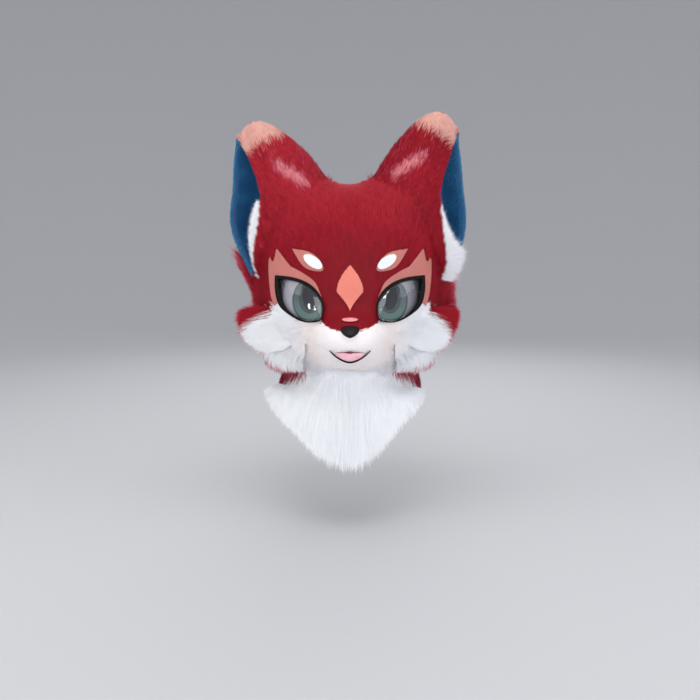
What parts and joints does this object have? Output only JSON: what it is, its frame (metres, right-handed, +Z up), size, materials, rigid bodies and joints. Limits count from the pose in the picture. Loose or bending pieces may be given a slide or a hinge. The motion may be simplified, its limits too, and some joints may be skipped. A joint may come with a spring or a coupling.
{
  "type": "fursuit head",
  "caption": "Hollow padded fox head covered in fur, worn over the head, with cupped ears, domed eyes and a chest bib.",
  "frame": {"origin": "top of the hollow, where the head rests on its wearer's crown", "axes": "+X to the right as the viewer sees the face, -Y out of the face, +Z up through the crown"},
  "size_m": [0.4726, 0.3867, 0.6464],
  "materials": {
    "red_fur": "short and long pile faux fur",
    "white_fur": "short and long pile faux fur",
    "blue_plush": "short plush",
    "peach_plush": "short plush",
    "pink_plush": "short plush",
    "black_felt": "matte felt",
    "black_gloss": "satin",
    "eye_print": "printed sheet",
    "iris_print": "printed sheet",
    "pupil_print": "printed sheet",
    "clear_dome": "clear and glossy"
  },
  "bodies": {
    "root": {"bib": "white_fur", "brow_patch_left": "peach_plush", "brow_patch_right": "peach_plush", "brow_spot_left": "white_fur", "brow_spot_right": "white_fur", "cheek_fluff_left": "white_fur", "cheek_fluff_right": "white_fur", "ear_floor_left": "blue_plush", "ear_floor_right": "blue_plush", "ear_left": "red_fur", "ear_lining_left": "blue_plush", "ear_lining_right": "blue_plush", "ear_right": "red_fur", "ear_tuft_left": "white_fur", "ear_tuft_right": "white_fur", "eye_base_left": "eye_print", "eye_base_right": "eye_print", "eye_dome_left": "clear_dome", "eye_dome_right": "clear_dome", "eye_iris_left": "iris_print", "eye_iris_right": "iris_print", "eye_pupil_left": "pupil_print", "eye_pupil_right": "pupil_print", "eye_rim_left": "black_felt", "eye_rim_right": "black_felt", "eyelid_left": "peach_plush", "eyelid_right": "peach_plush", "forehead_diamond": "peach_plush", "head_shell": "red_fur", "jaw_fluff_left": "white_fur", "jaw_fluff_right": "white_fur", "lip_line": "black_felt", "neck_collar": "red_fur", "nose": "black_gloss", "nose_bar": "pink_plush", "side_lock_left": "red_fur", "side_lock_right": "red_fur", "tongue": "pink_plush"}
  },
  "joints": []
}
